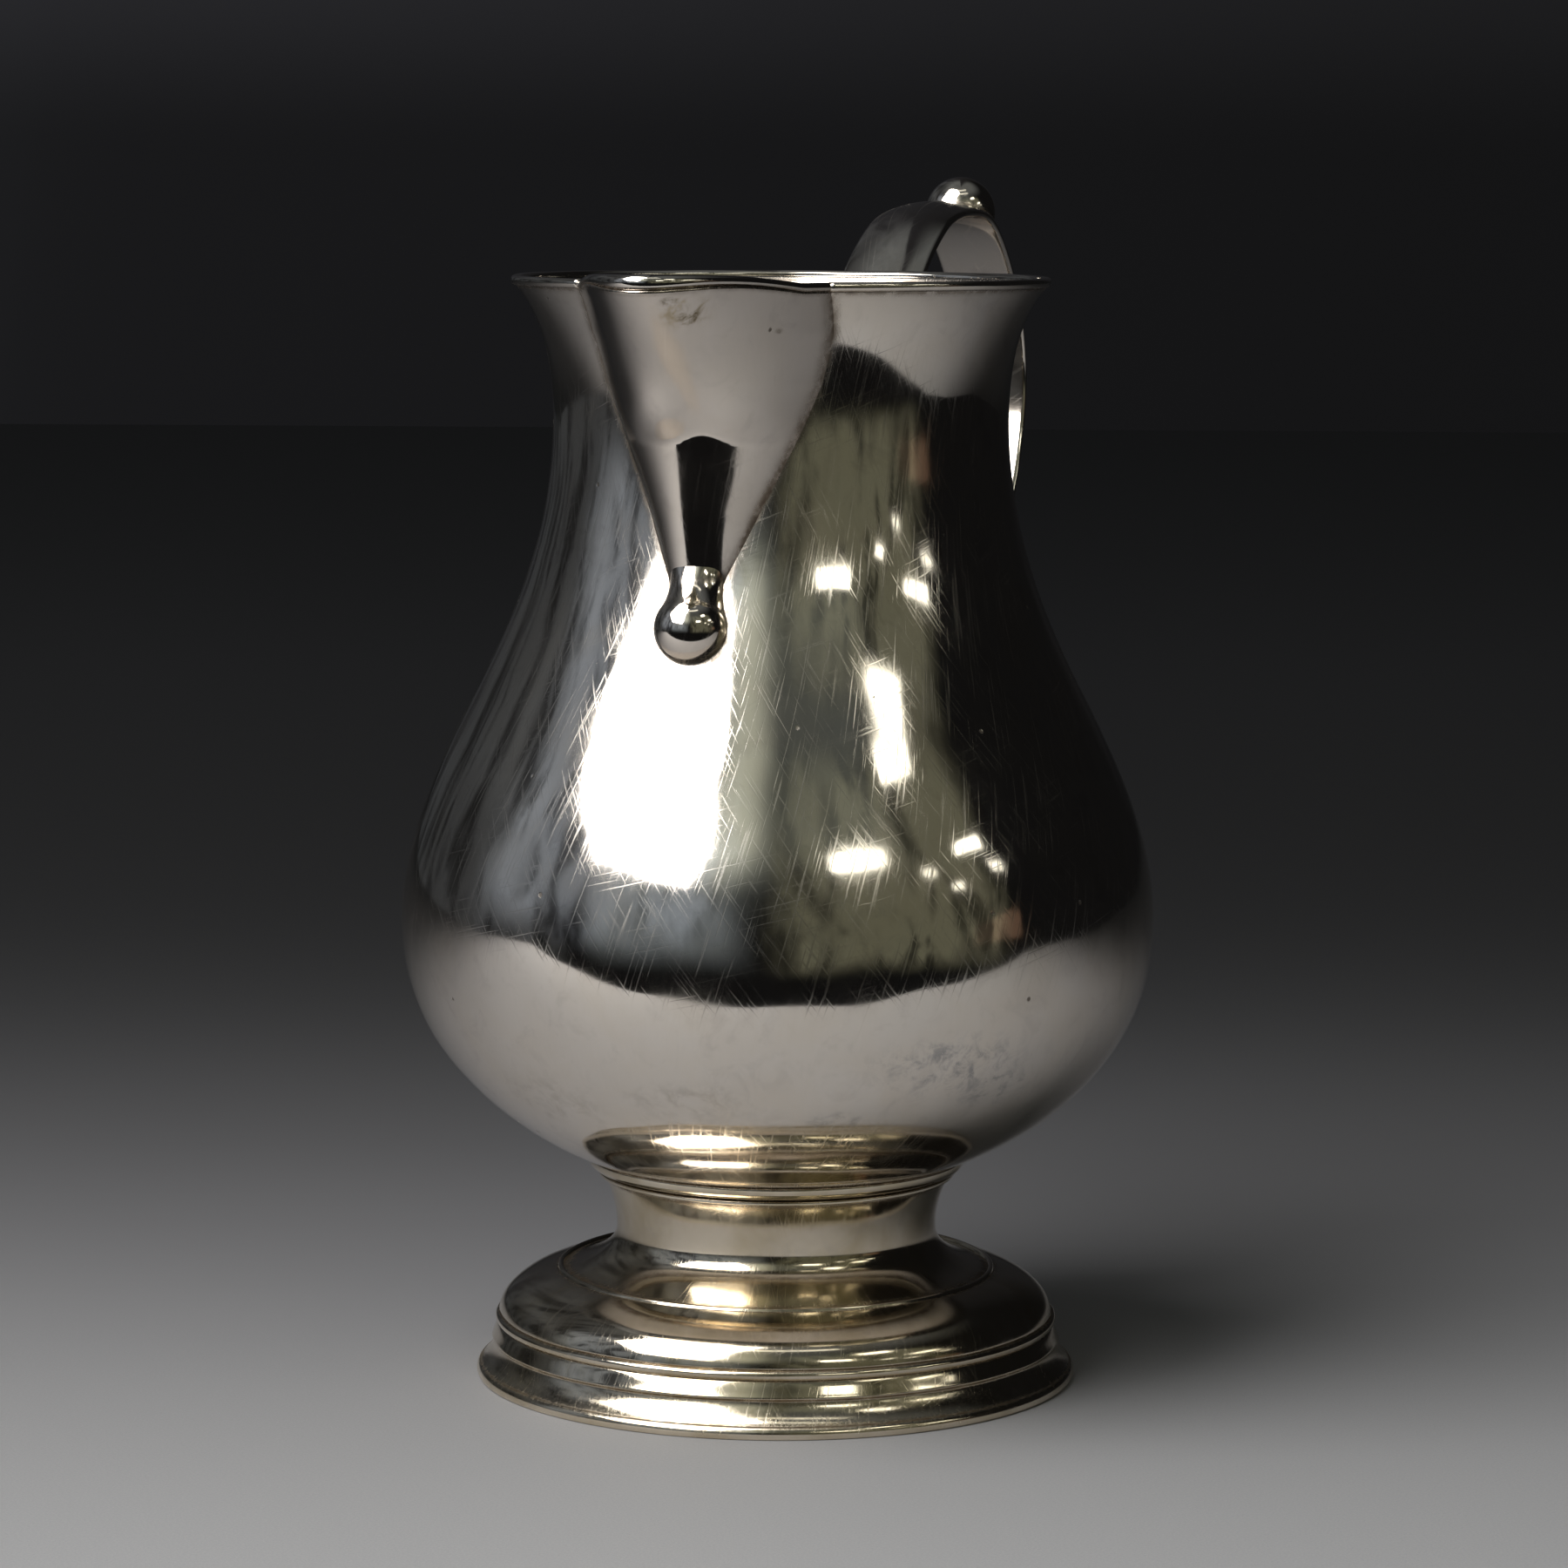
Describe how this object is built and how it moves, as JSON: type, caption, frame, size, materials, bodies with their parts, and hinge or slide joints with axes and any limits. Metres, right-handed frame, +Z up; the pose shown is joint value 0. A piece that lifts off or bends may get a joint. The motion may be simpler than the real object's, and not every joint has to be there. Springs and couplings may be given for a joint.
{
  "type": "silver cream jug",
  "caption": "Pear-shaped cream jug with a sparrow-beak spout, strap handle with a ball thumbpiece, and a domed moulded foot.",
  "frame": {"origin": "middle of the whole jug's footprint on the surface it stands on; the body's own axis is 14.0 mm forward of it, towards the spout", "axes": "+Z up, -Y the way the spout points, +Y towards the handle, +X to the jug's right seen from the spout side looking along +Y"},
  "size_m": [0.0612, 0.0968, 0.0978],
  "materials": {
    "silver_polished": "polished sterling silver with hairline scratches and faint tarnish",
    "silver_worn": "worn silver with warm tarnish in the grooves"
  },
  "bodies": {
    "root": {"body_shell": "silver_polished", "rim_wire": "silver_polished", "spout_beak": "silver_polished", "spout_lip_wire": "silver_polished", "spout_drop": "silver_polished", "foot_collar": "silver_worn", "foot_stem": "silver_worn", "foot_bead_wire": "silver_worn", "foot_dome": "silver_worn", "foot_step_reed": "silver_worn", "foot_flare": "silver_worn", "foot_rim_wire": "silver_worn", "handle_strap": "silver_polished", "handle_lower_boss": "silver_polished", "thumb_ball": "silver_polished"}
  },
  "joints": []
}
